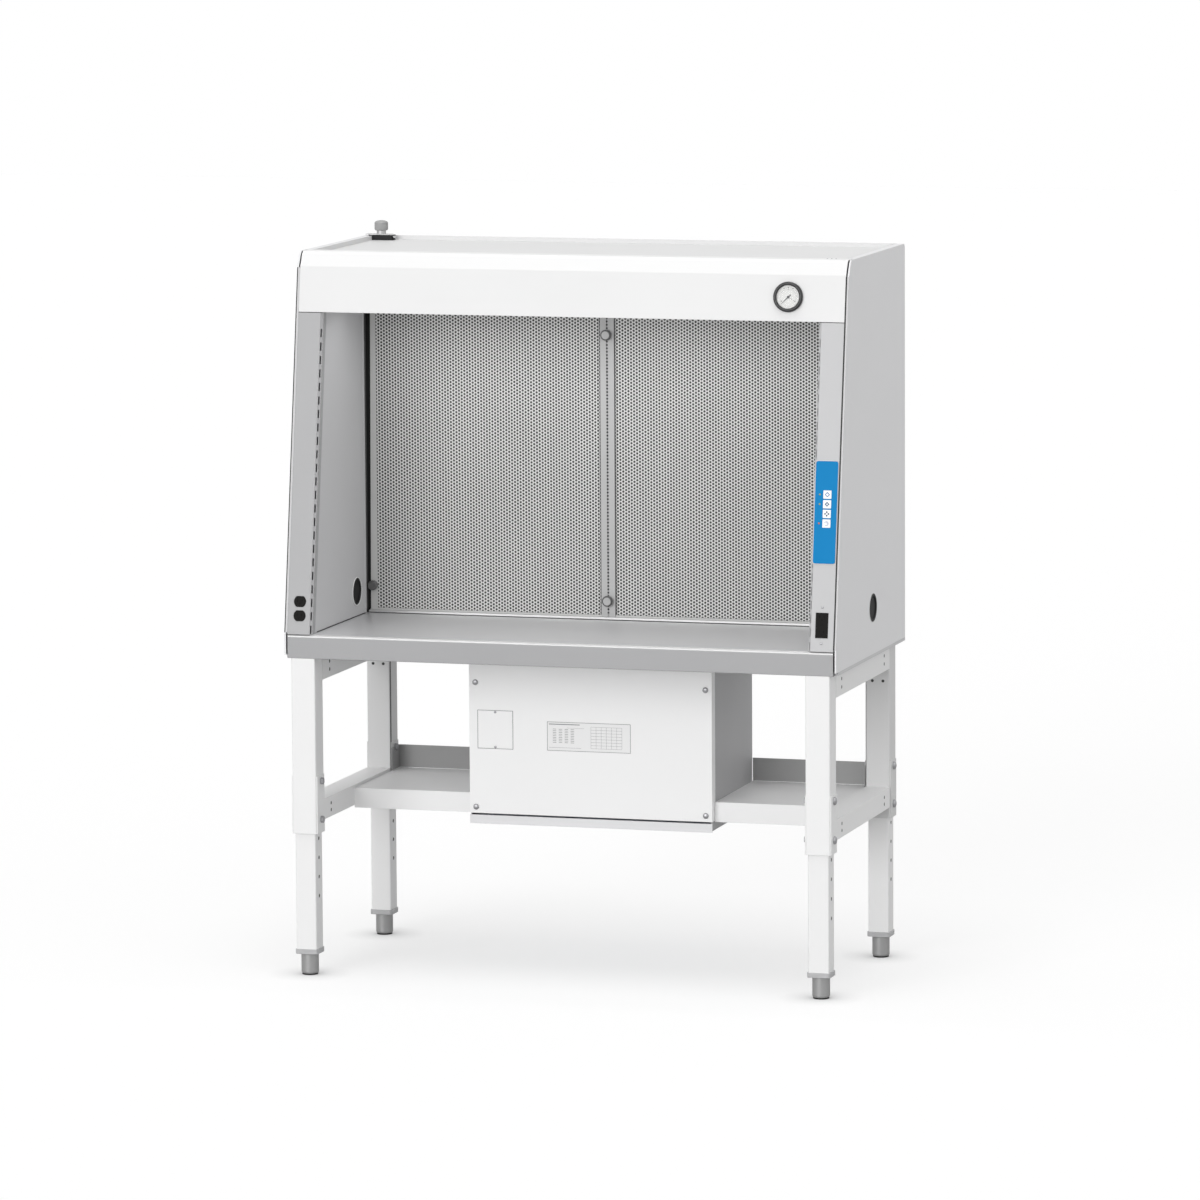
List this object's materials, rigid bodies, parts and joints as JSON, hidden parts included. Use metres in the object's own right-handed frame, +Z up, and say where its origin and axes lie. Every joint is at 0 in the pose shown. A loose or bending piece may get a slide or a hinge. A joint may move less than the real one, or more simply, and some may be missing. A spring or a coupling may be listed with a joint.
{
  "type": "laminar flow hood",
  "caption": "Horizontal laminar flow clean bench: sloping cabinet with perforated rear screens, worktop, gauge, keypad, blower box and height-adjustable stand.",
  "frame": {"origin": "on the floor under the middle of the overall box", "axes": "+X to the right seen from the front, +Y to the rear, +Z up"},
  "size_m": [1.5536, 0.7551, 2.0161],
  "materials": {
    "white_paint": "satin powder coat",
    "grey_paint": "satin powder coat",
    "stainless": "fine brushed",
    "screen_metal": "perforated, satin",
    "trim_metal": "satin",
    "zinc": "satin zinc",
    "black_plastic": "satin",
    "black_rubber": "matt",
    "dial_white": "matt print",
    "needle_black": "matt black",
    "clear_lens": "clear",
    "panel_blue": "smooth film",
    "key_white": "smooth film",
    "indicator_orange": "clear cap",
    "lamp_glass": "frosted white",
    "filter_paper": "matt",
    "prefilter_fabric": "matt",
    "galvanised": "galvanised",
    "motor_paint": "painted"
  },
  "bodies": {
    "cabinet": {"fascia": "white_paint", "leg_outer_tubes": "white_paint", "side_rails": "white_paint", "blower_cover": "white_paint", "lamp_housing": "white_paint", "access_plate": "white_paint", "side_panel_left": "grey_paint", "side_panel_right": "grey_paint", "top_deck": "grey_paint", "rear_panel": "grey_paint", "post_left": "grey_paint", "post_right": "grey_paint", "inner_walls": "grey_paint", "base_pan": "grey_paint", "worktop_ribs": "grey_paint", "ceiling": "grey_paint", "filter_box": "grey_paint", "shelves": "grey_paint", "blower_box": "grey_paint", "sample_port": "grey_paint", "worktop": "stainless", "diffuser_screen_left": "screen_metal", "diffuser_screen_right": "screen_metal", "screen_sill": "trim_metal", "centre_strip": "trim_metal", "screws": "zinc", "leg_bolts": "zinc", "gauge_case": "black_plastic", "outlet_left": "black_plastic", "outlet_right": "black_plastic", "cord_gland": "black_plastic", "port_grommets": "black_rubber", "gauge_dial": "dial_white", "gauge_lens": "clear_lens", "control_panel": "panel_blue", "indicator_lights": "indicator_orange", "lamp_tube": "lamp_glass", "hepa_filters": "filter_paper", "blower_housing": "galvanised", "blower_motor": "motor_paint"},
    "leg_front_left": {"leg_front_left": "white_paint"},
    "foot_front_left": {"foot_front_left": "zinc"},
    "leg_front_right": {"leg_front_right": "white_paint"},
    "foot_front_right": {"foot_front_right": "zinc"},
    "leg_rear_left": {"leg_rear_left": "white_paint"},
    "foot_rear_left": {"foot_rear_left": "zinc"},
    "leg_rear_right": {"leg_rear_right": "white_paint"},
    "foot_rear_right": {"foot_rear_right": "zinc"},
    "key_1": {"key_1": "key_white"},
    "key_2": {"key_2": "key_white"},
    "key_3": {"key_3": "key_white"},
    "key_4": {"key_4": "key_white"},
    "gauge_needle": {"gauge_needle": "needle_black"},
    "screen_knob_low": {"screen_knob_low": "trim_metal"},
    "screen_knob_high": {"screen_knob_high": "trim_metal"},
    "clamp_knob": {"clamp_knob": "black_plastic"},
    "sample_cap": {"sample_cap": "trim_metal"},
    "tray": {"prefilter_tray": "grey_paint", "prefilter": "prefilter_fabric"},
    "wheel": {"blower_wheel": "galvanised"}
  },
  "joints": [
    {"name": "leg_front_left_slide", "type": "slide", "parent": "cabinet", "child": "leg_front_left", "axis": [0, 0, 1], "range_m": [-0.106, 0.159]},
    {"name": "foot_front_left_turn", "type": "hinge", "parent": "leg_front_left", "child": "foot_front_left", "pos_m": [-0.723, -0.3435, 0.03], "axis": [0, 0, 1], "continuous": true},
    {"name": "leg_front_right_slide", "type": "slide", "parent": "cabinet", "child": "leg_front_right", "axis": [0, 0, 1], "range_m": [-0.106, 0.159]},
    {"name": "foot_front_right_turn", "type": "hinge", "parent": "leg_front_right", "child": "foot_front_right", "pos_m": [0.723, -0.3435, 0.03], "axis": [0, 0, 1], "continuous": true},
    {"name": "leg_rear_left_slide", "type": "slide", "parent": "cabinet", "child": "leg_rear_left", "axis": [0, 0, 1], "range_m": [-0.106, 0.159]},
    {"name": "foot_rear_left_turn", "type": "hinge", "parent": "leg_rear_left", "child": "foot_rear_left", "pos_m": [-0.723, 0.3085, 0.03], "axis": [0, 0, 1], "continuous": true},
    {"name": "leg_rear_right_slide", "type": "slide", "parent": "cabinet", "child": "leg_rear_right", "axis": [0, 0, 1], "range_m": [-0.106, 0.159]},
    {"name": "foot_rear_right_turn", "type": "hinge", "parent": "leg_rear_right", "child": "foot_rear_right", "pos_m": [0.723, 0.3085, 0.03], "axis": [0, 0, 1], "continuous": true},
    {"name": "key_1_press", "type": "slide", "parent": "cabinet", "child": "key_1", "axis": [0, 0.9896, -0.144], "range_m": [0, 0.0006], "stiffness_N_per_m": 300, "springref_m": -0.001},
    {"name": "key_2_press", "type": "slide", "parent": "cabinet", "child": "key_2", "axis": [0, 0.9896, -0.144], "range_m": [0, 0.0006], "stiffness_N_per_m": 300, "springref_m": -0.001},
    {"name": "key_3_press", "type": "slide", "parent": "cabinet", "child": "key_3", "axis": [0, 0.9896, -0.144], "range_m": [0, 0.0006], "stiffness_N_per_m": 300, "springref_m": -0.001},
    {"name": "key_4_press", "type": "slide", "parent": "cabinet", "child": "key_4", "axis": [0, 0.9896, -0.144], "range_m": [0, 0.0006], "stiffness_N_per_m": 300, "springref_m": -0.001},
    {"name": "gauge_needle_turn", "type": "hinge", "parent": "cabinet", "child": "gauge_needle", "pos_m": [0.61, -0.24504, 1.87446], "axis": [0, -0.9896, 0.144], "range_deg": [-270, 0]},
    {"name": "screen_knob_low_turn", "type": "hinge", "parent": "cabinet", "child": "screen_knob_low", "pos_m": [0, 0.1045, 0.995], "axis": [0, 1, 0], "continuous": true},
    {"name": "screen_knob_high_turn", "type": "hinge", "parent": "cabinet", "child": "screen_knob_high", "pos_m": [0, 0.1045, 1.73], "axis": [0, 1, 0], "continuous": true},
    {"name": "clamp_knob_turn", "type": "hinge", "parent": "cabinet", "child": "clamp_knob", "pos_m": [-0.682, 0.1095, 1.018], "axis": [0, 1, 0], "continuous": true},
    {"name": "sample_cap_turn", "type": "hinge", "parent": "cabinet", "child": "sample_cap", "pos_m": [-0.7265, 0.3525, 1.995], "axis": [0, 0, 1], "continuous": true},
    {"name": "tray_slide", "type": "slide", "parent": "cabinet", "child": "tray", "axis": [0, -1, 0], "range_m": [0, 0.35]},
    {"name": "wheel_spin", "type": "hinge", "parent": "cabinet", "child": "wheel", "pos_m": [0, 0.1375, 0.6], "axis": [1, 0, 0], "continuous": true}
  ],
  "couplings": [
    {"joint": "leg_front_right_slide", "follows": "leg_front_left_slide", "ratio": 1},
    {"joint": "leg_rear_left_slide", "follows": "leg_front_left_slide", "ratio": 1},
    {"joint": "leg_rear_right_slide", "follows": "leg_front_left_slide", "ratio": 1}
  ]
}
